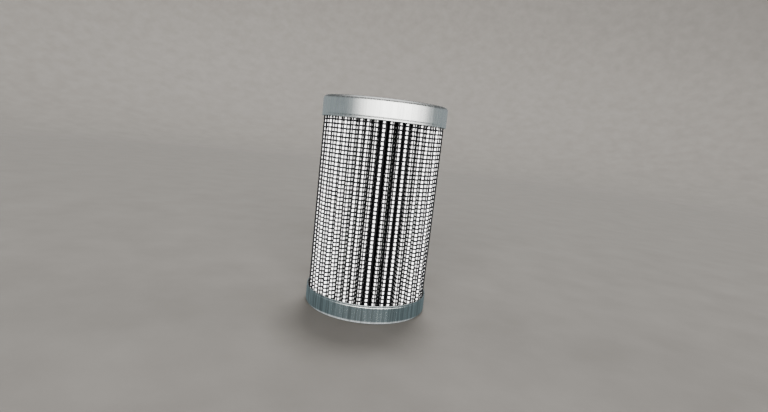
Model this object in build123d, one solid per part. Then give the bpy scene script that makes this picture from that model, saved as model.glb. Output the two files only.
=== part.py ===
from build123d import *
import math
import os

# Pleated hydraulic filter element, high-pressure pattern, standing on its closed end.
# The frame's origin is the centre of the closed end's face, +Z runs up the axis to the open end.
# Oil flows from outside to inside: through the pleat pack, through the perforated core, out of the neck.
# Angles in the plan view are measured from -Y towards +X.

# ---- main sizes, mm ----
CAP_R = 25.0            # outside radius of both pressed end caps
LENGTH = 84.0           # over both end faces
SHEET = 0.6             # cap sheet thickness
TOP_SKIRT = 8.0         # skirt height of the open cap
BOTTOM_SKIRT = 7.4      # skirt height of the closed cap
CORNER_R = 1.3          # outside corner radius between skirt and end face

# open cap's neck, which seals on the housing spigot
BORE_R = 12.0           # spigot bore
ENTRY_R = 0.8           # rounding at the mouth of the bore
GROOVE_R = 14.5         # inside radius of the seal groove
GROOVE_TOP = 82.0
GROOVE_BOTTOM = 78.9
NECK_END = 77.2         # lower edge of the neck

# seal
ORING_D = 2.65
ORING_IN_R = 11.82

# closed cap's centring plateau, pressed inwards
PLATEAU_R = 14.9        # radius on the inside of the cap
PLATEAU_H = 1.0

# core tube
CORE_IN_R = 15.2
CORE_OUT_R = 16.0
HOLE_D = 4.5
HOLES_PER_ROW = 12
HOLE_ROWS = 12
ROW_PITCH = 6.0
FIRST_ROW_Z = 9.0

# pleat pack: layer thicknesses, upstream to downstream
OUTER_MESH_T = 0.36
OUTER_FLEECE_T = 0.08
MEDIA_T = 0.22
INNER_FLEECE_T = 0.08
INNER_MESH_T = 0.24
PLEATS = 48
FIRST_CREST = 1.0       # plan angle of one crest, degrees
CREST_R = 24.2          # radius over the crests
VALLEY_R = 16.1         # radius inside the valleys
CREST_ROUND = 1.08      # outer radius of a crest fold
VALLEY_ROUND = 0.04     # inner radius of a valley fold, on the upstream side
LEAN = 3.9              # how far the valleys sit round from the crests, beyond half a pitch, degrees
PACK_Z0 = 1.5
PACK_Z1 = 82.5
SEAM_PLEAT = 24         # the pack's two ends meet in this crest
SEAM_EXTRA = 0.6        # the two end legs run on past the fold centre

# seam clip: a folded strip over the pack's two end legs
CLIP_T = 0.3
CLIP_DEPTH = 3.0

# potting, epoxy in both caps
POT_DEPTH_LOW = 4.6     # top surface of the lower potting
POT_DEPTH_HIGH = 79.4   # lower surface of the upper potting

PACK_T = OUTER_MESH_T + OUTER_FLEECE_T + MEDIA_T + INNER_FLEECE_T + INNER_MESH_T
PITCH = 360.0 / PLEATS
CREST_C = CREST_R - CREST_ROUND
VALLEY_C = VALLEY_R + VALLEY_ROUND + PACK_T

os.makedirs("parts", exist_ok=True)


def plan(r, deg):
    a = math.radians(deg)
    return (r * math.sin(a), -r * math.cos(a))


def crest(k):
    return plan(CREST_C, FIRST_CREST + PITCH * k)


def valley(k):
    """The valley after crest k."""
    return plan(VALLEY_C, FIRST_CREST + PITCH * (k + 0.5) + LEAN)


def leg_down(k):
    """Direction of the leg from crest k to valley k."""
    a, b = crest(k), valley(k)
    dx, dy = b[0] - a[0], b[1] - a[1]
    return math.atan2(dy, dx) + math.asin((CREST_ROUND + VALLEY_ROUND) / math.hypot(dx, dy))


def leg_up(k):
    """Direction of the leg from valley k-1 to crest k."""
    a, b = valley(k - 1), crest(k)
    dx, dy = b[0] - a[0], b[1] - a[1]
    return math.atan2(dy, dx) - math.asin((CREST_ROUND + VALLEY_ROUND) / math.hypot(dx, dy))


def off(p, angle, along, left):
    """Point p moved along a direction and to its left."""
    c, s = math.cos(angle), math.sin(angle)
    return (p[0] + along * c - left * s, p[1] + along * s + left * c)


def up_end(k, d, extra=0.0):
    """End of the rising leg at crest k, on the surface d below the upstream face."""
    return off(crest(k), leg_up(k), extra, -(CREST_ROUND - d))


def down_start(k, d, extra=0.0):
    return off(crest(k), leg_down(k), -extra, -(CREST_ROUND - d))


def down_end(k, d):
    return off(valley(k), leg_down(k), 0, VALLEY_ROUND + d)


def up_start(k, d):
    return off(valley(k - 1), leg_up(k), 0, VALLEY_ROUND + d)


def arc(centre, p, q, turn):
    """Arc from p to q about centre; turn +1 is anticlockwise."""
    r = math.dist(centre, p)
    a = math.atan2(p[1] - centre[1], p[0] - centre[0])
    b = math.atan2(q[1] - centre[1], q[0] - centre[0])
    sweep = (b - a) % (2 * math.pi) if turn > 0 else -((a - b) % (2 * math.pi))
    m = a + sweep / 2
    mid = (centre[0] + r * math.cos(m), centre[1] + r * math.sin(m))
    return ThreePointArc(p, mid, q)


def open_path(d):
    """Edges of the surface d below the upstream face, from the seam's falling leg round to its rising leg."""
    edges = []
    s = SEAM_PLEAT
    start = down_start(s, d, SEAM_EXTRA)
    for i in range(PLEATS):
        k = s + i
        edges.append(Line(start, down_end(k, d)))
        edges.append(arc(valley(k), down_end(k, d), up_start(k + 1, d), -1))
        if i < PLEATS - 1:
            edges.append(Line(up_start(k + 1, d), up_end(k + 1, d)))
            edges.append(arc(crest(k + 1), up_end(k + 1, d), down_start(k + 1, d), 1))
            start = down_start(k + 1, d)
        else:
            edges.append(Line(up_start(k + 1, d), up_end(k + 1, d, SEAM_EXTRA)))
    return edges


def layer(d0, d1):
    """A layer of the pack between the surfaces at depth d0 and d1."""
    a, b = open_path(d0), open_path(d1)
    s = SEAM_PLEAT
    ends = [
        Line(up_end(s, d0, SEAM_EXTRA), up_end(s, d1, SEAM_EXTRA)),
        Line(down_start(s, d1, SEAM_EXTRA), down_start(s, d0, SEAM_EXTRA)),
    ]
    face = Face(Wire(a + b + ends))
    return Pos(0, 0, PACK_Z0) * extrude(face, PACK_Z1 - PACK_Z0, dir=(0, 0, 1))


def poly(points):
    return [Line(points[i], points[i + 1]) for i in range(len(points) - 1)]


def clip_outline():
    """Inner and outer corners of the clip's section, from the rising leg over to the falling leg."""
    s = SEAM_PLEAT
    gap = 0.05
    inner = [
        up_end(s, 0, -CLIP_DEPTH),
        up_end(s, 0, SEAM_EXTRA + gap),
        down_start(s, 0, SEAM_EXTRA + gap),
        down_start(s, 0, -CLIP_DEPTH),
    ]
    outer = [
        up_end(s, -CLIP_T, -CLIP_DEPTH),
        up_end(s, -CLIP_T, SEAM_EXTRA + gap + CLIP_T - 0.25),
        up_end(s, -CLIP_T + 0.25, SEAM_EXTRA + gap + CLIP_T),
        down_start(s, -CLIP_T + 0.25, SEAM_EXTRA + gap + CLIP_T),
        down_start(s, -CLIP_T, SEAM_EXTRA + gap + CLIP_T - 0.25),
        down_start(s, -CLIP_T, -CLIP_DEPTH),
    ]
    return inner, outer


def lathe(points):
    """Solid of revolution about Z from (r, z) corners; a corner given as (r, z, radius) is rounded."""
    plain = [(p[0], p[1]) for p in points]
    face = Face(Wire(Polyline(*[(r, 0, z) for r, z in plain], close=True).edges()))
    for p in points:
        if len(p) == 3:
            v = min(face.vertices(), key=lambda q: math.hypot(q.X - p[0], q.Z - p[1]))
            face = face.fillet_2d(p[2], [v])
    return revolve(face, Axis.Z, 360)


# ---- open end cap: skirt, end face and a neck with a pressed seal groove, one pressing ----
IN_R = CAP_R - SHEET
INNER_CORNER = CORNER_R - SHEET
open_cap = lathe([
    (CAP_R, LENGTH - TOP_SKIRT, 0.2),
    (CAP_R, LENGTH, CORNER_R),
    (BORE_R, LENGTH, ENTRY_R),
    (BORE_R, GROOVE_TOP, 0.25),
    (GROOVE_R, GROOVE_TOP, 0.35),
    (GROOVE_R, GROOVE_BOTTOM, 0.35),
    (BORE_R, GROOVE_BOTTOM, 0.25),
    (BORE_R, NECK_END, 0.2),
    (BORE_R + SHEET, NECK_END),
    (BORE_R + SHEET, GROOVE_BOTTOM - SHEET),
    (GROOVE_R + SHEET, GROOVE_BOTTOM - SHEET, 0.5),
    (GROOVE_R + SHEET, GROOVE_TOP + SHEET, 0.5),
    (BORE_R + SHEET, GROOVE_TOP + SHEET),
    (BORE_R + SHEET, LENGTH - SHEET),
    (IN_R, LENGTH - SHEET, INNER_CORNER),
    (IN_R, LENGTH - TOP_SKIRT),
])

# ---- closed end cap: shallow cup with a plateau pressed inwards that centres the core ----
closed_cap = lathe([
    (0, PLATEAU_H),
    (PLATEAU_R - SHEET, PLATEAU_H, 0.3),
    (PLATEAU_R - SHEET, 0, 0.4),
    (CAP_R, 0, CORNER_R),
    (CAP_R, BOTTOM_SKIRT, 0.2),
    (IN_R, BOTTOM_SKIRT),
    (IN_R, SHEET, INNER_CORNER),
    (PLATEAU_R, SHEET),
    (PLATEAU_R, SHEET + PLATEAU_H, 0.4),
    (0, SHEET + PLATEAU_H),
])

# ---- perforated core tube ----
core = Pos(0, 0, SHEET) * (
    extrude(Circle(CORE_OUT_R), LENGTH - 2 * SHEET) - extrude(Circle(CORE_IN_R), LENGTH - 2 * SHEET)
)
cutters = []
for row in range(HOLE_ROWS):
    z = FIRST_ROW_Z + row * ROW_PITCH
    turn = (row % 2) * 180.0 / HOLES_PER_ROW
    for i in range(HOLES_PER_ROW // 2):
        a = turn + i * 360.0 / HOLES_PER_ROW
        cutters.append(Pos(0, 0, z) * Rot(0, 0, a) * Rot(0, 90, 0) * Cylinder(HOLE_D / 2, 2.2 * CORE_OUT_R))
core = core - cutters

# ---- pleat pack, five layers ----
d = [0.0]
for t in (OUTER_MESH_T, OUTER_FLEECE_T, MEDIA_T, INNER_FLEECE_T, INNER_MESH_T):
    d.append(d[-1] + t)
outer_mesh = layer(d[0], d[1])
outer_fleece = layer(d[1], d[2])
media = layer(d[2], d[3])
inner_fleece = layer(d[3], d[4])
inner_mesh = layer(d[4], d[5])

# ---- seam clip ----
ci, co = clip_outline()
clip_face = Face(Wire(poly(co + ci[::-1] + [co[0]])))
clip = Pos(0, 0, PACK_Z0) * extrude(clip_face, PACK_Z1 - PACK_Z0, dir=(0, 0, 1))

# ---- potting: fills the caps round the pleat ends ----
s = SEAM_PLEAT
path = open_path(0)
first, last = path[0], path[-1]
trimmed = (
    [Line(down_start(s, 0, -CLIP_DEPTH), down_end(s, 0))]
    + path[1:-1]
    + [Line(up_start(s, 0), up_end(s, 0, -CLIP_DEPTH))]
)
outside_wire = Wire(trimmed + poly([ci[0]] + co + [ci[3]]))
inside_wire = Wire(open_path(PACK_T) + [Line(up_end(s, PACK_T, SEAM_EXTRA), down_start(s, PACK_T, SEAM_EXTRA))])
pack_face = Face(outside_wire, [inside_wire])
low_block = Pos(0, 0, PACK_Z0) * extrude(pack_face, POT_DEPTH_LOW - PACK_Z0 + 2, dir=(0, 0, 1))
high_block = Pos(0, 0, POT_DEPTH_HIGH - 2) * extrude(pack_face, PACK_Z1 - POT_DEPTH_HIGH + 2, dir=(0, 0, 1))
lower_potting = lathe([
    (CORE_OUT_R, SHEET),
    (IN_R, SHEET, INNER_CORNER),
    (IN_R, POT_DEPTH_LOW),
    (CORE_OUT_R, POT_DEPTH_LOW),
]) - low_block
upper_potting = lathe([
    (CORE_OUT_R, POT_DEPTH_HIGH),
    (IN_R, POT_DEPTH_HIGH),
    (IN_R, LENGTH - SHEET, INNER_CORNER),
    (CORE_OUT_R, LENGTH - SHEET),
]) - high_block

# ---- seal ----
oring = Pos(0, 0, (GROOVE_TOP + GROOVE_BOTTOM) / 2) * Torus(ORING_IN_R + ORING_D / 2, ORING_D / 2)

for name, shape in {
    "open_end_cap": open_cap,
    "closed_end_cap": closed_cap,
    "core_tube": core,
    "outer_support_mesh": outer_mesh,
    "outer_fleece": outer_fleece,
    "filter_media": media,
    "inner_fleece": inner_fleece,
    "inner_support_mesh": inner_mesh,
    "seam_clip": clip,
    "lower_potting": lower_potting,
    "upper_potting": upper_potting,
    "seal_ring": oring,
}.items():
    export_step(shape, f"parts/{name}.step")
    print(name, round(shape.volume, 1), len(shape.solids()), len(shape.faces()))
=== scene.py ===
import math
import bpy
import numpy as np
from mathutils import Matrix, Vector


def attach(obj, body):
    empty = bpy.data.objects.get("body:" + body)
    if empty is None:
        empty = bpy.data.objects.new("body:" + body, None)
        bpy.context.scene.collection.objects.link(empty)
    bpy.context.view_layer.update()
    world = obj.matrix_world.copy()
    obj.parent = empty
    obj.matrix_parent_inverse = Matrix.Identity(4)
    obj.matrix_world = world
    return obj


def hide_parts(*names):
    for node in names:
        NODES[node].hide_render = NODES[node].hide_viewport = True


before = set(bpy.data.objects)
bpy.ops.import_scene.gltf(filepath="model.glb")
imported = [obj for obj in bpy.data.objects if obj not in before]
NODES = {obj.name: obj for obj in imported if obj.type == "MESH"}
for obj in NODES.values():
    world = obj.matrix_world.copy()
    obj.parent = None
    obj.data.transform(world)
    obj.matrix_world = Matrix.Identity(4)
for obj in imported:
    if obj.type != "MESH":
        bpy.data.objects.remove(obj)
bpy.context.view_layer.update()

MM = 0.001
rng = np.random.default_rng(41)

# ---------------------------------------------------------------- sizes, mm
CAP_R, LENGTH, SHEET = 25.0, 84.0, 0.6
TOP_SKIRT, BOTTOM_SKIRT, CORNER_R = 8.0, 7.4, 1.3
BORE_R, ENTRY_R, GROOVE_R = 12.0, 0.8, 14.5
GROOVE_TOP, GROOVE_BOTTOM, NECK_END = 82.0, 78.9, 77.2
PLATEAU_R, PLATEAU_H = 14.9, 1.0
PLEATS, LEAN, FIRST_CREST = 48, 3.9, 1.0
SEAM = 24
PITCH = 360.0 / PLEATS
CREST_ROUND, VALLEY_ROUND = 1.08, 0.04
CREST_R, VALLEY_C = 24.2, 17.12
PACK_Z0, PACK_Z1 = 1.5, 82.5
SEAM_EXTRA = 0.6
CELL = 1.5875
ROUND_R, UP_R, WEAVE, WIRE_D = 0.32, 0.25, 0.08, 0.335

# crest angles of the side in view, by pleat number; the others are even with a small scatter
SEEN = {-8: -61.8, -7: -51.7, -6: -44.6, -5: -36.0, -4: -28.1, -3: -20.3, -2: -13.4, -1: -6.3, 0: 0.9, 1:
        8.1, 2: 15.7, 3: 22.7, 4: 30.1, 5: 37.7, 6: 47.4, 7: 54.8, 8: 62.8, 9: 70.6}
CREST, DRIFT, PHASE, WAVE_LEN = [], [], [], []
for k in range(SEAM, SEAM + PLEATS + 1):
    kk = k if k <= SEAM + 16 else k - PLEATS
    nominal = FIRST_CREST + PITCH * k
    if k in (SEAM, SEAM + PLEATS):
        CREST.append(nominal)
        DRIFT.append(0.0)
    else:
        shift = SEEN[kk] - (FIRST_CREST + PITCH * kk) if kk in SEEN else rng.uniform(-0.35, 0.35)
        CREST.append(nominal + shift)
        DRIFT.append(rng.uniform(0.10, 0.30))
    PHASE.append(rng.uniform(0, 2 * math.pi))
    WAVE_LEN.append(rng.uniform(70, 130))
CREST, DRIFT, PHASE, WAVE_LEN = map(np.array, (CREST, DRIFT, PHASE, WAVE_LEN))
R_SHIFT = rng.uniform(-0.05, 0.03, PLEATS + 1)
R_SHIFT[[0, -1]] = 0
VALLEY_SHIFT = rng.uniform(-0.3, 0.3, PLEATS)
# the pack is twisted a little between its caps, away from the seam
TWIST = 1.1 * (1 + np.cos(np.radians(CREST))) / 2


def polar(r, deg):
    a = np.radians(deg)
    return np.stack([r * np.sin(a), -r * np.cos(a)], axis=-1)


def centres(zs):
    """Centres of the crest and valley arcs at heights zs: (nz, pleats + 1, 2) and (nz, pleats, 2)."""
    z = np.asarray(zs, float)[:, None]
    turn = TWIST[None] * (42 - z) / 70
    c = CREST[None] + turn + DRIFT[None] * np.sin(2 * math.pi * z / WAVE_LEN[None] + PHASE[None])
    belly = 0.07 * np.sin(math.pi * np.clip((z - 4) / 76, 0, 1))
    belly = belly * (DRIFT[None] > 0)
    r = CREST_R - CREST_ROUND + R_SHIFT[None] + belly
    v = (CREST[None, :-1] + CREST[None, 1:]) / 2 + LEAN + VALLEY_SHIFT[None] + turn[:, :-1]
    return polar(r, c), polar(VALLEY_C + 0 * v, v)


def n_of(a):
    return np.stack([np.sin(a), -np.cos(a)], axis=-1)


def path(zs, d, n_leg, n_valley, n_crest):
    """The pleated line at depth d below the pack's outside: points and outward normals, (nz, n, 2) each."""
    C, V = centres(zs)
    dc = V - C[:, :-1]
    uc = C[:, 1:] - V
    total = CREST_ROUND + VALLEY_ROUND
    a = np.arctan2(dc[..., 1], dc[..., 0]) + np.arcsin(total / np.hypot(dc[..., 0], dc[..., 1]))
    b = np.arctan2(uc[..., 1], uc[..., 0]) - np.arcsin(total / np.hypot(uc[..., 0], uc[..., 1]))
    pts, nrm = [], []
    for m in range(PLEATS):
        am, bm = a[:, m], b[:, m]
        bm = am - np.mod(am - bm, 2 * math.pi)
        na, nb = n_of(am), n_of(bm)
        p1 = C[:, m] + (CREST_ROUND - d) * na
        p2 = V[:, m] - (VALLEY_ROUND + d) * na
        p3 = V[:, m] - (VALLEY_ROUND + d) * nb
        p4 = C[:, m + 1] + (CREST_ROUND - d) * nb
        if m == 0:
            p1 = p1 - SEAM_EXTRA * np.stack([np.cos(am), np.sin(am)], -1)
        if m == PLEATS - 1:
            p4 = p4 + SEAM_EXTRA * np.stack([np.cos(bm), np.sin(bm)], -1)
        for t in np.linspace(0, 1, n_leg):
            pts.append(p1 + (p2 - p1) * t)
            nrm.append(na)
        for t in np.linspace(0, 1, n_valley + 2)[1:-1]:
            n = n_of(am + (bm - am) * t)
            pts.append(V[:, m] - (VALLEY_ROUND + d) * n)
            nrm.append(n)
        for t in np.linspace(0, 1, n_leg):
            pts.append(p3 + (p4 - p3) * t)
            nrm.append(nb)
        if m < PLEATS - 1:
            a2 = bm + np.mod(a[:, m + 1] - bm, 2 * math.pi)
            for t in np.linspace(0, 1, n_crest + 2)[1:-1]:
                n = n_of(bm + (a2 - bm) * t)
                pts.append(C[:, m + 1] + (CREST_ROUND - d) * n)
                nrm.append(n)
    return np.stack(pts, 1), np.stack(nrm, 1)


# ---------------------------------------------------------------- mesh helpers
def make(name, verts, quads, mat, sharp=None):
    verts = np.asarray(verts, float).reshape(-1, 3) * MM
    quads = np.asarray(quads, np.int32).reshape(-1, 4)
    me = bpy.data.meshes.new(name)
    me.vertices.add(len(verts))
    me.vertices.foreach_set("co", verts.ravel())
    me.loops.add(4 * len(quads))
    me.loops.foreach_set("vertex_index", quads.ravel())
    me.polygons.add(len(quads))
    me.polygons.foreach_set("loop_start", np.arange(len(quads), dtype=np.int32) * 4)
    me.update(calc_edges=True)
    me.polygons.foreach_set("use_smooth", np.ones(len(quads), bool))
    if sharp:
        me.set_sharp_from_angle(angle=math.radians(sharp))
    me.validate()
    ob = bpy.data.objects.new(name, me)
    bpy.context.scene.collection.objects.link(ob)
    me.materials.append(mat)
    return ob


def part(ob, node):
    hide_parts(node)
    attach(ob, "root")
    return ob


def grid_quads(nu, nv, wrap_u=False, wrap_v=False, flip=False):
    iu = np.arange(nu if wrap_u else nu - 1)
    iv = np.arange(nv if wrap_v else nv - 1)
    u, v = np.meshgrid(iu, iv, indexing="ij")
    u2, v2 = (u + 1) % nu, (v + 1) % nv
    q = np.stack([u * nv + v, u2 * nv + v, u2 * nv + v2, u * nv + v2], -1).reshape(-1, 4)
    return q[:, ::-1] if flip else q


def tubes(name, groups, sides, mat):
    """groups: list of (centre (ns,3), side vector a (ns,3), side vector b (ns,3)), already scaled by the radius."""
    phi = np.arange(sides) * 2 * math.pi / sides + 0.3
    verts, quads, base = [], [], 0
    for c, a, b in groups:
        ring = c[:, None] + a[:, None] * np.cos(phi)[None, :, None] + b[:, None] * np.sin(phi)[None, :, None]
        verts.append(ring.reshape(-1, 3))
        quads.append(grid_quads(len(c), sides, wrap_v=True, flip=True) + base)
        base += ring.shape[0] * sides
    return make(name, np.concatenate(verts), np.concatenate(quads), mat)


def rounded(corners, steps=7, closed=True):
    """Corners (r, z) or (r, z, radius) to a polyline with arcs."""
    out, n = [], len(corners)
    for i, c in enumerate(corners):
        p = np.array(c[:2], float)
        if len(c) < 3 or c[2] <= 0:
            out.append(p)
            continue
        q, s = np.array(corners[i - 1][:2], float), np.array(corners[(i + 1) % n][:2], float)
        e1, e2 = (q - p) / np.linalg.norm(q - p), (s - p) / np.linalg.norm(s - p)
        half = math.acos(max(-1, min(1, float(e1 @ e2)))) / 2
        t = c[2] / math.tan(half)
        centre = p + (e1 + e2) / np.linalg.norm(e1 + e2) * (c[2] / math.sin(half))
        s0, s1 = p + e1 * t - centre, p + e2 * t - centre
        a0, a1 = math.atan2(s0[1], s0[0]), math.atan2(s1[1], s1[0])
        turn = (a1 - a0 + math.pi) % (2 * math.pi) - math.pi
        for j in range(steps + 1):
            a = a0 + turn * j / steps
            out.append(centre + c[2] * np.array([math.cos(a), math.sin(a)]))
    return np.array(out)


def lathe(name, profile, mat, seg=192, dent=None):
    th = np.arange(seg) * 2 * math.pi / seg
    r, z = profile[:, 0], profile[:, 1]
    rr = r[None, :] + (dent(th[:, None], r[None, :], z[None, :]) if dent else 0)
    v = np.stack([rr * np.sin(th)[:, None], -rr * np.cos(th)[:, None], z[None, :] + 0 * rr], -1)
    return make(name, v, grid_quads(seg, len(profile), wrap_u=True, wrap_v=True, flip=True), mat, sharp=38)


# ---------------------------------------------------------------- materials
def new_mat(name, color, rough, metal=0.0, spec=None):
    m = bpy.data.materials.new(name)
    m.use_nodes = True
    nt = m.node_tree
    p = nt.nodes["Principled BSDF"]
    p.inputs["Base Color"].default_value = (*color, 1)
    p.inputs["Roughness"].default_value = rough
    p.inputs["Metallic"].default_value = metal
    if spec is not None:
        p.inputs["Specular IOR Level"].default_value = spec
    return m, nt, p


def coords(nt, scale):
    tc = nt.nodes.new("ShaderNodeTexCoord")
    mp = nt.nodes.new("ShaderNodeMapping")
    mp.inputs["Scale"].default_value = scale
    nt.links.new(tc.outputs["Object"], mp.inputs["Vector"])
    return mp.outputs["Vector"]


def noise(nt, vec, scale, detail=3.0, rough=0.55):
    n = nt.nodes.new("ShaderNodeTexNoise")
    n.inputs["Scale"].default_value = scale
    n.inputs["Detail"].default_value = detail
    n.inputs["Roughness"].default_value = rough
    nt.links.new(vec, n.inputs["Vector"])
    return n.outputs["Fac"]


def ramp(nt, fac, stops):
    r = nt.nodes.new("ShaderNodeValToRGB")
    e = r.color_ramp.elements
    while len(e) < len(stops):
        e.new(0.5)
    for i, (pos, col) in enumerate(stops):
        e[i].position = pos
        e[i].color = (*col, 1) if len(col) == 3 else col
    nt.links.new(fac, r.inputs["Fac"])
    return r.outputs["Color"]


def bump(nt, p, height, strength, dist, before=None):
    b = nt.nodes.new("ShaderNodeBump")
    b.inputs["Strength"].default_value = strength
    b.inputs["Distance"].default_value = dist
    nt.links.new(height, b.inputs["Height"])
    if before is not None:
        nt.links.new(before, b.inputs["Normal"])
    nt.links.new(b.outputs["Normal"], p.inputs["Normal"])
    return b.outputs["Normal"]


def grey(v):
    return (v, v, v)


def drawn_steel(name, tint, low, high, streak, dark, light):
    """Zinc-plated deep-drawn sheet: draw marks run up the skirt, with small stains and scuffs."""
    m, nt, p = new_mat(name, tint, 0.3, 1.0)
    fine = noise(nt, coords(nt, (1, 1, 0.012)), 2400, 3)
    broad = noise(nt, coords(nt, (1, 1, 0.03)), 760, 2)
    spots = noise(nt, coords(nt, (1, 1, 0.25)), 300, 4, 0.6)
    add = nt.nodes.new("ShaderNodeMath")
    add.operation = "ADD"
    nt.links.new(fine, add.inputs[0])
    nt.links.new(broad, add.inputs[1])
    half = nt.nodes.new("ShaderNodeMath")
    half.operation = "MULTIPLY"
    nt.links.new(add.outputs[0], half.inputs[0])
    half.inputs[1].default_value = 0.5
    nt.links.new(ramp(nt, half.outputs[0], [(0.38, grey(low)), (0.62, grey(high))]), p.inputs["Roughness"])
    t = tint
    lines = ramp(nt, half.outputs[0], [(0.40, tuple(c * dark for c in t)), (0.50, t), (0.61, tuple(min(1, c * light) for c in t))])
    stains = ramp(nt, spots, [(0.28, grey(0.88)), (0.46, grey(1.0))])
    mix = nt.nodes.new("ShaderNodeMix")
    mix.data_type = "RGBA"
    mix.blend_type = "MULTIPLY"
    mix.inputs["Factor"].default_value = 1.0
    socks = [q for q in mix.inputs if q.type == "RGBA"]
    nt.links.new(lines, socks[0])
    nt.links.new(stains, socks[1])
    nt.links.new([q for q in mix.outputs if q.type == "RGBA"][0], p.inputs["Base Color"])
    first = bump(nt, p, broad, streak, 0.00008)
    second = bump(nt, p, fine, streak, 0.00003, first)
    bump(nt, p, spots, 0.04, 0.00002, second)
    return m


open_plate = drawn_steel("open_cap_steel", (0.82, 0.83, 0.82), 0.20, 0.32, 0.22, 0.93, 1.04)
closed_plate = drawn_steel("closed_cap_steel", (0.74, 0.77, 0.77), 0.10, 0.19, 0.42, 0.76, 1.22)

core_steel, nt, p = new_mat("core_steel", (0.7, 0.71, 0.71), 0.5, 0.6)
nt.links.new(ramp(nt, noise(nt, coords(nt, (1, 1, 1)), 500, 4), [(0.3, (0.60, 0.61, 0.61)), (0.7, (0.78, 0.79, 0.79))]), p.inputs["Base Color"])
bump(nt, p, noise(nt, coords(nt, (1, 1, 0.2)), 900, 3), 0.15, 0.00006)

wire, nt, p = new_mat("coated_wire", (0.010, 0.010, 0.011), 0.42, 0.0, 0.22)
f = noise(nt, coords(nt, (1, 1, 1)), 900, 3)
nt.links.new(ramp(nt, f, [(0.35, (0.006, 0.006, 0.007)), (0.70, (0.014, 0.014, 0.015))]), p.inputs["Base Color"])
nt.links.new(ramp(nt, f, [(0.3, grey(0.34)), (0.7, grey(0.55))]), p.inputs["Roughness"])


def cloth(name, base, scale, low=0.90):
    m, nt, p = new_mat(name, base, 0.9, 0.0, 0.25)
    f = noise(nt, coords(nt, (1, 1, 1)), scale, 5, 0.6)
    nt.links.new(ramp(nt, f, [(0.3, tuple(c * low for c in base)), (0.65, base)]), p.inputs["Base Color"])
    bump(nt, p, f, 0.35, 0.00008)
    return m


fleece = cloth("fleece", (0.95, 0.945, 0.94), 2600, 0.95)
glass_media = cloth("glass_fibre", (0.93, 0.93, 0.91), 1800)
inner_cloth = cloth("inner_fleece", (0.87, 0.87, 0.86), 2600)

fine_wire, nt, p = new_mat("inner_wire_cloth", (0.35, 0.36, 0.36), 0.45, 0.8)
w = nt.nodes.new("ShaderNodeTexWave")
w.bands_direction = "Z"
w.inputs["Scale"].default_value = 320
nt.links.new(coords(nt, (1, 1, 1)), w.inputs["Vector"])
nt.links.new(ramp(nt, w.outputs["Fac"], [(0.3, (0.10, 0.10, 0.10)), (0.7, (0.45, 0.46, 0.46))]), p.inputs["Base Color"])
bump(nt, p, w.outputs["Fac"], 0.5, 0.0001)

clip_steel, nt, p = new_mat("clip_steel", (0.62, 0.63, 0.63), 0.34, 1.0)
f = noise(nt, coords(nt, (1, 1, 0.03)), 1400, 4)
nt.links.new(ramp(nt, f, [(0.3, grey(0.24)), (0.7, grey(0.46))]), p.inputs["Roughness"])
bump(nt, p, f, 0.2, 0.00005)

epoxy, nt, p = new_mat("epoxy", (0.30, 0.27, 0.19), 0.22, 0.0, 0.5)
nt.links.new(ramp(nt, noise(nt, coords(nt, (1, 1, 1)), 300, 3), [(0.3, (0.24, 0.21, 0.14)), (0.7, (0.36, 0.33, 0.24))]), p.inputs["Base Color"])

rubber, nt, p = new_mat("nitrile", (0.015, 0.015, 0.016), 0.38, 0.0, 0.45)
f = noise(nt, coords(nt, (1, 1, 1)), 700, 3)
nt.links.new(ramp(nt, f, [(0.3, grey(0.30)), (0.7, grey(0.50))]), p.inputs["Roughness"])


# ---------------------------------------------------------------- end caps
def uneven(th, r, z):
    """A drawn skirt is never quite round: long shallow waves, fading towards the middle of the end face."""
    f = np.clip((r - 21) / 4, 0, 1)
    low = 0.030 * np.sin(2 * th + 0.7) + 0.016 * np.sin(5 * th + 2.1 + z * 0.05) + 0.007 * np.sin(13 * th + z * 0.11)
    return -0.055 * f + low * f


def even_out(th, r, z):
    f = np.clip((r - 21) / 4, 0, 1)
    low = 0.026 * np.sin(2 * th + 2.2) + 0.018 * np.sin(4 * th + 0.4 - z * 0.06) + 0.009 * np.sin(11 * th + z * 0.13)
    return -0.055 * f + low * f


IN_R, IN_CORNER = CAP_R - SHEET, CORNER_R - SHEET
EDGE = LENGTH - TOP_SKIRT
open_profile = rounded([
    (CAP_R, EDGE, 0.22), (CAP_R, EDGE + 0.32),
    (CAP_R, EDGE + 0.84), (CAP_R - 0.03, EDGE + 0.90), (CAP_R - 0.03, EDGE + 0.98), (CAP_R, EDGE + 1.06), (CAP_R, EDGE + 1.20),
    (CAP_R, EDGE + 3.4), (CAP_R, EDGE + 5.2), (CAP_R, LENGTH - CORNER_R - 0.12),
    (CAP_R, LENGTH, CORNER_R), (CAP_R - CORNER_R - 0.12, LENGTH),
    (22.4, LENGTH), (19.0, LENGTH - 0.04), (16.0, LENGTH - 0.02),
    (BORE_R, LENGTH, ENTRY_R),
    (BORE_R, GROOVE_TOP, 0.25),
    (GROOVE_R, GROOVE_TOP, 0.35),
    (GROOVE_R, GROOVE_BOTTOM, 0.35),
    (BORE_R, GROOVE_BOTTOM, 0.25),
    (BORE_R, NECK_END, 0.2),
    (BORE_R + SHEET, NECK_END),
    (BORE_R + SHEET, GROOVE_BOTTOM - SHEET),
    (GROOVE_R + SHEET, GROOVE_BOTTOM - SHEET, 0.5),
    (GROOVE_R + SHEET, GROOVE_TOP + SHEET, 0.5),
    (BORE_R + SHEET, GROOVE_TOP + SHEET),
    (BORE_R + SHEET, LENGTH - SHEET),
    (IN_R, LENGTH - SHEET, IN_CORNER),
    (IN_R, EDGE),
])
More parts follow.
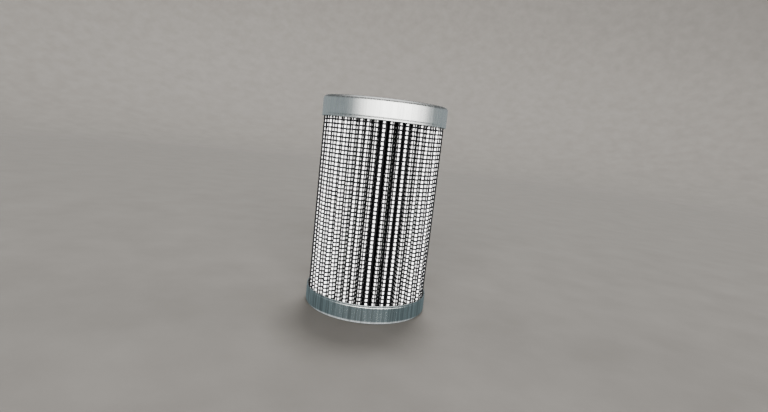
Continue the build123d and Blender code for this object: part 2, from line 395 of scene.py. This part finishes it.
closed_profile = rounded([
    (0.02, PLATEAU_H),
    (PLATEAU_R - SHEET, PLATEAU_H, 0.3),
    (PLATEAU_R - SHEET, 0, 0.4), (CAP_R - CORNER_R - 0.12, 0),
    (CAP_R, 0, CORNER_R), (CAP_R, CORNER_R + 0.12),
    (CAP_R, 2.6), (CAP_R, 4.4), (CAP_R, BOTTOM_SKIRT - 1.05), (CAP_R, BOTTOM_SKIRT - 0.88),
    (CAP_R - 0.03, BOTTOM_SKIRT - 0.8), (CAP_R - 0.03, BOTTOM_SKIRT - 0.72), (CAP_R, BOTTOM_SKIRT - 0.64), (CAP_R, BOTTOM_SKIRT - 0.50),
    (CAP_R, BOTTOM_SKIRT - 0.32), (CAP_R, BOTTOM_SKIRT, 0.2),
    (IN_R, BOTTOM_SKIRT),
    (IN_R, SHEET, IN_CORNER),
    (PLATEAU_R, SHEET),
    (PLATEAU_R, SHEET + PLATEAU_H, 0.4),
    (0.02, SHEET + PLATEAU_H),
])
part(lathe("open_cap_shell", open_profile, open_plate, dent=uneven), "open_end_cap")
part(lathe("closed_cap_shell", closed_profile, closed_plate, dent=even_out), "closed_end_cap")


# ---------------------------------------------------------------- pleated sheets under the wire cloth
def ribbon(name, d0, d1, zs, shape, mat):
    zs = np.asarray(zs, float)
    a, _ = path(zs, d0, *shape)
    b, _ = path(zs, d1, *shape)
    n = a.shape[1]
    ring = np.concatenate([a, b[:, ::-1]], axis=1)
    v = np.concatenate([ring, np.broadcast_to(zs[:, None, None], (len(zs), 2 * n, 1))], -1)
    q = grid_quads(len(zs), 2 * n, wrap_v=True, flip=True)
    ends = []
    for row, turn in ((0, False), (len(zs) - 1, True)):
        o = row * 2 * n
        i = np.arange(n - 1)
        e = np.stack([o + i, o + i + 1, o + 2 * n - 2 - i, o + 2 * n - 1 - i], -1)
        ends.append(e[:, ::-1] if turn else e)
    return make(name, v, np.concatenate([q] + ends), mat, sharp=50)


Z_ENDS = np.linspace(PACK_Z0, PACK_Z1, 15)
Z_FEW = np.linspace(PACK_Z0, PACK_Z1, 9)
part(ribbon("fleece_sheet", 0.46, 0.53, Z_ENDS, (4, 3, 9), fleece), "outer_fleece")
part(ribbon("media_sheet", 0.54, 0.74, Z_FEW, (2, 2, 4), glass_media), "filter_media")
part(ribbon("inner_fleece_sheet", 0.75, 0.80, Z_FEW, (2, 2, 4), inner_cloth), "inner_fleece")
part(ribbon("inner_cloth_sheet", 0.81, 1.03, Z_FEW, (2, 3, 3), fine_wire), "inner_support_mesh")

# ---------------------------------------------------------------- outer wire cloth, wire by wire
DENSE = (22, 4, 24)
mid_p, _ = path([42.0], WIRE_D, *DENSE)
mid_p = mid_p[0]
S = np.concatenate([[0], np.cumsum(np.hypot(*np.diff(mid_p, axis=0).T))])
R_MID = np.hypot(mid_p[:, 0], mid_p[:, 1])
INDEX = np.arange(len(S), dtype=float)
# a whole number of cells to each pleat, with a wire on either side of each crest
TOPS = [i for i in range(1, len(R_MID) - 1) if R_MID[i] > 23.9 and R_MID[i] >= R_MID[i - 1] and R_MID[i] > R_MID[i + 1]]
PER_PLEAT = (S[TOPS[-1]] - S[TOPS[0]]) / (len(TOPS) - 1)
CELL_S = PER_PLEAT / round(PER_PLEAT / CELL)
MIDDLE = S[min(TOPS, key=lambda i: abs(math.atan2(mid_p[i, 0], -mid_p[i, 1])))]
FIRST_S = (MIDDLE - CELL_S / 2 - 0.2) % CELL_S + 0.2
N_AX = int((S[-1] - 0.2 - FIRST_S) // CELL_S) + 1
AX_S = FIRST_S + CELL_S * np.arange(N_AX)
Z_FIRST = PACK_Z0 + 0.35
N_ROW = int((PACK_Z1 - 0.2 - Z_FIRST) // CELL) + 1


def at(grid, idx):
    i = np.clip(np.floor(idx).astype(int), 0, grid.shape[1] - 2)
    t = (idx - i)[None, :, None]
    return grid[:, i] * (1 - t) + grid[:, i + 1] * t


def droop(s, z):
    """The cloth's rows wander a little up and down as they go round the pack."""
    return 0.10 * np.sin(s * 0.021 + 0.6) + 0.06 * np.sin(s * 0.067 + z * 0.05)


# wires that run up the element
def up_wires(name, which, zs, sides):
    P, N = path(zs, WIRE_D, *DENSE)
    idx = np.interp(AX_S[which], S, INDEX)
    P, N = at(P, idx), at(N, idx)
    N = N / np.linalg.norm(N, axis=-1, keepdims=True)
    groups = []
    for c, j in enumerate(which):
        phase = (zs - Z_FIRST - droop(AX_S[j], zs)) / CELL
        w = -WEAVE * np.cos(math.pi * (phase + j))
        n3 = np.concatenate([N[:, c], np.zeros((len(zs), 1))], -1)
        t3 = np.stack([-N[:, c, 1], N[:, c, 0], np.zeros(len(zs))], -1)
        centre = np.concatenate([P[:, c], zs[:, None]], -1) + n3 * w[:, None]
        groups.append((centre, n3 * UP_R, t3 * UP_R))
    return part(tubes(name, groups, sides, wire), "outer_support_mesh")


row_z = Z_FIRST + CELL * np.arange(N_ROW)
shown = row_z[(row_z > 5.2) & (row_z < 78.6)]
z_single = np.concatenate([[PACK_Z0], shown, [PACK_Z1]])
z_double = np.sort(np.concatenate([z_single, (shown[:-1] + shown[1:]) / 2]))
ax_r = np.interp(AX_S, S, R_MID)
near = np.where(ax_r > 21.3)[0]
deep = np.where(ax_r <= 21.3)[0]
half = len(near) // 2
up_wires("upright_wires_a", near[:half], z_double, 5)
up_wires("upright_wires_b", near[half:], z_double, 5)
up_wires("upright_wires_deep", deep, z_single, 4)

# wires that run round, following the pleats
stations = list(AX_S)
for s in AX_S[:-1]:
    r = np.interp(s + CELL_S / 2, S, R_MID)
    if r > 20.8:
        stations.append(s + CELL_S / 2)
for s in np.arange(AX_S[0], AX_S[-1], CELL_S / 4):
    if np.interp(s, S, R_MID) > 23.15 and min(abs(((s - AX_S[0]) / (CELL_S / 2)) % 1), 1 - ((s - AX_S[0]) / (CELL_S / 2)) % 1) > 0.1:
        stations.append(s)
valley_s = S[np.r_[False, (R_MID[1:-1] < R_MID[:-2]) & (R_MID[1:-1] <= R_MID[2:]), False]]
stations = np.array(sorted(stations + [s for s in valley_s]))
stations = stations[np.r_[True, np.diff(stations) > 0.15]]
row_keep = [i for i in range(N_ROW) if 5.2 < row_z[i] < 78.6]


def round_wires(name, rows):
    groups = []
    idx = np.interp(stations, S, INDEX)
    zc = row_z[rows]
    P, N = path(zc, WIRE_D, *DENSE)
    P, N = at(P, idx), at(N, idx)
    N = N / np.linalg.norm(N, axis=-1, keepdims=True)
    for c, i in enumerate(rows):
        w = WEAVE * np.cos(math.pi * ((stations - AX_S[0]) / CELL_S + i))
        n3 = np.concatenate([N[c], np.zeros((len(stations), 1))], -1)
        z = zc[c] + droop(stations, zc[c])
        centre = np.concatenate([P[c], z[:, None]], -1) + n3 * w[:, None]
        up = np.zeros_like(centre)
        up[:, 2] = ROUND_R
        groups.append((centre, n3 * ROUND_R, up))
    return part(tubes(name, groups, 5, wire), "outer_support_mesh")


per = max(1, int(190000 / (len(stations) * 10)))
for g, start in enumerate(range(0, len(row_keep), per)):
    round_wires("round_wires_" + "abcdef"[g], np.array(row_keep[start:start + per]))

# ---------------------------------------------------------------- carried-over solids
for node, mat in (("core_tube", core_steel), ("seam_clip", clip_steel), ("lower_potting", epoxy),
                  ("upper_potting", epoxy), ("seal_ring", rubber)):
    me = NODES[node].data
    me.materials.clear()
    me.materials.append(mat)

# ---------------------------------------------------------------- floor and backdrop
floor_mat, nt, p = new_mat("pale_floor", (0.2, 0.188, 0.176), 0.9, 0.0, 0.2)
f = noise(nt, coords(nt, (1, 1, 1)), 38, 4, 0.55)
nt.links.new(ramp(nt, f, [(0.30, (0.080, 0.0755, 0.070)), (0.70, (0.090, 0.0855, 0.0795))]), p.inputs["Base Color"])
bump(nt, p, noise(nt, coords(nt, (1, 1, 1)), 700, 4), 0.18, 0.0003)


def disc(name, rs, zs, seg=96):
    th = np.arange(seg) * 2 * math.pi / seg
    v = np.stack([np.outer(np.sin(th), rs), np.outer(-np.cos(th), rs), np.tile(zs, (seg, 1))], -1)
    return make(name, v, grid_quads(seg, len(rs), wrap_u=True), floor_mat)


ground = disc("floor", np.array([0.02, 40, 120, 300, 900.0]), np.zeros(5))
t = np.linspace(0, math.pi / 2, 16)
wall = disc("backdrop", np.r_[900 + 700 * np.sin(t), 1600], np.r_[700 - 700 * np.cos(t), 2600])
ground.visible_glossy = False
for flag in ("visible_glossy", "visible_diffuse", "visible_shadow", "visible_transmission"):
    setattr(wall, flag, False)

# ---------------------------------------------------------------- light
world = bpy.data.worlds.new("studio")
bpy.context.scene.world = world
world.use_nodes = True
nt = world.node_tree
bg = nt.nodes["Background"]
tc = nt.nodes.new("ShaderNodeTexCoord")
sep = nt.nodes.new("ShaderNodeSeparateXYZ")
nt.links.new(tc.outputs["Generated"], sep.inputs[0])


def wmath(op, a, b=None):
    n = nt.nodes.new("ShaderNodeMath")
    n.operation = op
    for i, v in enumerate((a, b)):
        if v is None:
            continue
        if isinstance(v, (int, float)):
            n.inputs[i].default_value = v
        else:
            nt.links.new(v, n.inputs[i])
    return n.outputs[0]


def wmix(fac, a, b):
    n = nt.nodes.new("ShaderNodeMix")
    n.data_type = "RGBA"
    nt.links.new(fac, n.inputs["Factor"])
    for key, v in (("A", a), ("B", b)):
        sock = [s for s in n.inputs if s.name == key and s.type == "RGBA"][0]
        if isinstance(v, tuple):
            sock.default_value = (*v, 1)
        else:
            nt.links.new(v, sock)
    return [s for s in n.outputs if s.type == "RGBA"][0]


X, Y, Z = sep.outputs
# colour by height: deep tone below the horizon, soft grey above it
level = wmath("ADD", wmath("MULTIPLY", Z, 0.5), 0.5)
height = ramp(nt, level, [
    (0.00, (0.70, 0.71, 0.71)), (0.16, (0.45, 0.47, 0.48)), (0.26, (0.125, 0.152, 0.158)), (0.415, (0.15, 0.185, 0.195)),
    (0.455, (0.285, 0.325, 0.34)), (0.60, (0.31, 0.335, 0.345)), (0.65, (0.13, 0.14, 0.145)), (0.80, (0.15, 0.155, 0.155)), (0.90, (0.50, 0.50, 0.50)), (1.00, (1.2, 1.2, 1.2))])
# a wide bright window in front, low on the horizon, strongest to the right of the middle
ahead = wmath("ADD", wmath("MULTIPLY", X, 0.26), wmath("MULTIPLY", Y, -0.966))
window = ramp(nt, ahead, [(0.08, grey(0)), (0.30, grey(0.04)), (0.45, grey(0.22)), (0.68, grey(0.62)), (0.95, grey(1))])
above = ramp(nt, level, [(0.445, grey(0)), (0.48, grey(1)), (0.60, grey(1)), (0.66, grey(0.0))])
mask = wmath("MULTIPLY", window, above)
# a dimmer patch under it, seen by the lower cap
front = ramp(nt, wmath("MULTIPLY", Y, -1.0), [(0.35, grey(0)), (0.98, grey(1))])
under = ramp(nt, level, [(0.20, grey(0)), (0.30, grey(1)), (0.42, grey(1)), (0.45, grey(0))])
patch = wmath("MULTIPLY", front, under)
height = wmix(patch, height, (0.185, 0.212, 0.217))
nt.links.new(wmix(mask, height, (4.2, 4.15, 4.02)), bg.inputs["Color"])
bg.inputs["Strength"].default_value = 1.0


def sun(name, towards, strength, angle, color=(1, 1, 1)):
    li = bpy.data.lights.new(name, "SUN")
    li.energy = strength
    li.angle = math.radians(angle)
    li.color = color
    ob = bpy.data.objects.new(name, li)
    bpy.context.scene.collection.objects.link(ob)
    ob.location = Vector(towards)
    ob.rotation_mode = "QUATERNION"
    ob.rotation_quaternion = Vector(towards).to_track_quat("Z", "Y")
    ob.visible_glossy = False
    return ob


sun("left_soft", (-0.30, -0.95, 0.30), 4.8, 24, (1.0, 0.99, 0.98))
sun("right_soft", (0.30, -0.95, 0.30), 4.8, 24)
sun("front_soft", (0.03, -1.0, 0.28), 1.0, 16)
sun("top_soft", (0.05, 0.32, 1.0), 5.2, 14)
sun("side_a", (-0.92, 0.30, 0.36), 1.9, 30)
sun("side_b", (0.92, 0.30, 0.36), 1.9, 30)
sun("back_soft", (0.05, 0.95, 0.30), 1.6, 30)

# ---------------------------------------------------------------- camera
cam = bpy.data.cameras.new("camera")
cam.sensor_width = 36.0
cam.lens = 22.82
cam.clip_start, cam.clip_end = 0.005, 20.0
cam_ob = bpy.data.objects.new("camera", cam)
bpy.context.scene.collection.objects.link(cam_ob)
fwd = Vector((0.0186, 0.9889, -0.1471)).normalized()
right = Vector((0.9940, -0.0024, 0.1097))
right = (right - fwd * right.dot(fwd)).normalized()
up = right.cross(fwd)
cam_ob.matrix_world = Matrix((
    (right.x, up.x, -fwd.x, 0.0), (right.y, up.y, -fwd.y, -0.19957), (right.z, up.z, -fwd.z, 0.07163), (0, 0, 0, 1)))
bpy.context.scene.camera = cam_ob
bpy.context.scene.view_settings.view_transform = "AgX"
bpy.context.scene.view_settings.look = "AgX - Medium High Contrast"
